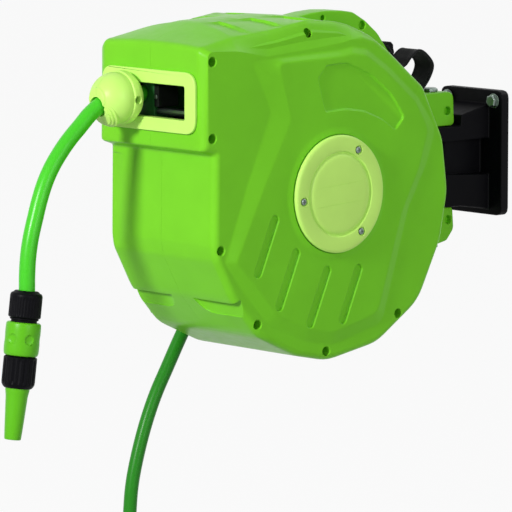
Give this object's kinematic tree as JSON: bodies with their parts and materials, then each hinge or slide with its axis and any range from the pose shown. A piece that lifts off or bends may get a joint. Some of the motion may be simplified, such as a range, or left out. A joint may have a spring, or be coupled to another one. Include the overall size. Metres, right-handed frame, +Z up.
{
  "type": "hose reel",
  "caption": "Wall-mounted retractable garden hose reel: green case on a swivel bracket, spring drum, travelling hose guide, ball stop, nozzle and lead-in hose.",
  "frame": {"origin": "Centre of the wall bracket's flat back face, where it meets the wall", "axes": "+Y points into the wall, +Z is up, +X is the side of the case with the hub cap; the hose leaves towards -Y"},
  "size_m": [0.2283, 0.677, 0.7845],
  "materials": {
    "green_case": "satin moulded, leaf green",
    "lime_trim": "satin moulded, pale lime",
    "black_plastic": "fine matte texture",
    "dark_green": "matte moulded",
    "grey_plastic": "matte moulded",
    "green_hose": "glossy soft PVC",
    "zinc_steel": "zinc plated",
    "spring_steel": "blued strip",
    "black_rubber": "matte",
    "black_webbing": "woven"
  },
  "bodies": {
    "wall_bracket": {"wall_bracket": "black_plastic", "wall_bolt_left": "zinc_steel", "wall_bolt_right": "zinc_steel", "swivel_pin": "zinc_steel", "pin_clip": "spring_steel"},
    "case": {"right_shell": "green_case", "left_shell": "green_case", "window_bezel": "lime_trim", "hub_cap": "lime_trim", "hub_cap_screw_upper": "zinc_steel", "hub_cap_screw_front": "zinc_steel", "hub_cap_screw_lower": "zinc_steel", "inlet_cover": "lime_trim", "axle": "grey_plastic", "spring_arbor": "grey_plastic", "inlet_elbow": "black_plastic", "inlet_seal": "black_rubber", "strain_relief": "black_rubber", "lead_in_hose": "green_hose", "lead_in_coil": "green_hose", "coil_tie": "black_plastic", "lead_in_connector": "black_plastic", "strap_anchor": "black_plastic", "strap_loop": "black_webbing", "guide_rod_upper": "zinc_steel", "guide_rod_lower": "zinc_steel", "pawl_pin": "zinc_steel"},
    "drum": {"drum_core": "grey_plastic", "drum_flange_left": "grey_plastic", "drum_flange_right": "grey_plastic", "bush_left": "black_plastic", "bush_right": "black_plastic", "spring_cassette": "black_plastic", "spring_cover": "grey_plastic", "mainspring": "spring_steel", "drum_gear": "black_plastic", "ratchet_wheel": "zinc_steel", "wound_hose_core": "green_hose", "wound_hose_layer": "green_hose"},
    "traverse": {"traverse_screw": "grey_plastic", "screw_gear": "black_plastic"},
    "guide": {"guide_carriage": "dark_green", "carriage_bracket": "grey_plastic", "carriage_screw": "zinc_steel", "hose_run": "green_hose", "stopper_left": "lime_trim", "stopper_right": "lime_trim", "stopper_screw": "zinc_steel", "delivery_hose": "green_hose", "hose_nut": "black_plastic", "connector_body": "black_plastic", "connector_seal": "black_rubber", "nozzle_grip": "black_plastic"},
    "roller_left": {"guide_roller_left": "grey_plastic"},
    "roller_right": {"guide_roller_right": "grey_plastic"},
    "pawl": {"pawl": "zinc_steel"},
    "collar": {"release_collar": "green_case"},
    "nozzle": {"nozzle_barrel": "green_case"}
  },
  "joints": [
    {"name": "case_swivel", "type": "hinge", "parent": "wall_bracket", "child": "case", "pos_m": [0, -0.078, 0], "axis": [0, 0, 1], "range_deg": [-70, 70]},
    {"name": "drum_spin", "type": "hinge", "parent": "case", "child": "drum", "pos_m": [0, -0.307, -0.02], "axis": [1, 0, 0], "range_deg": [0, 1500], "stiffness_Nm_per_rad": 0.02, "springref_deg": -343.77},
    {"name": "screw_spin", "type": "hinge", "parent": "case", "child": "traverse", "pos_m": [0, -0.45, 0.068], "axis": [1, 0, 0], "range_deg": [-5505, 0]},
    {"name": "guide_traverse", "type": "slide", "parent": "case", "child": "guide", "axis": [1, 0, 0], "range_m": [0, 0.0765]},
    {"name": "roller_left_spin", "type": "hinge", "parent": "guide", "child": "roller_left", "pos_m": [-0.04525, -0.472, 0.0939], "axis": [0, 0, 1], "continuous": true},
    {"name": "roller_right_spin", "type": "hinge", "parent": "guide", "child": "roller_right", "pos_m": [-0.01475, -0.472, 0.0939], "axis": [0, 0, 1], "continuous": true},
    {"name": "pawl_swing", "type": "hinge", "parent": "case", "child": "pawl", "pos_m": [-0.064, -0.247, 0.04], "axis": [1, 0, 0], "range_deg": [0, 5], "stiffness_Nm_per_rad": 0.02, "springref_deg": -28.65},
    {"name": "collar_slide", "type": "slide", "parent": "guide", "child": "collar", "axis": [0, 0.1323, 0.9912], "range_m": [0, 0.0022], "stiffness_N_per_m": 300, "springref_m": -0.01},
    {"name": "nozzle_twist", "type": "hinge", "parent": "guide", "child": "nozzle", "pos_m": [-0.03, -0.65991, -0.21397], "axis": [0, -0.1323, -0.9912], "range_deg": [0, 300]}
  ],
  "couplings": [
    {"joint": "screw_spin", "follows": "drum_spin", "ratio": -3.6667},
    {"joint": "guide_traverse", "follows": "drum_spin", "m_per_rad": 0.0028966}
  ]
}
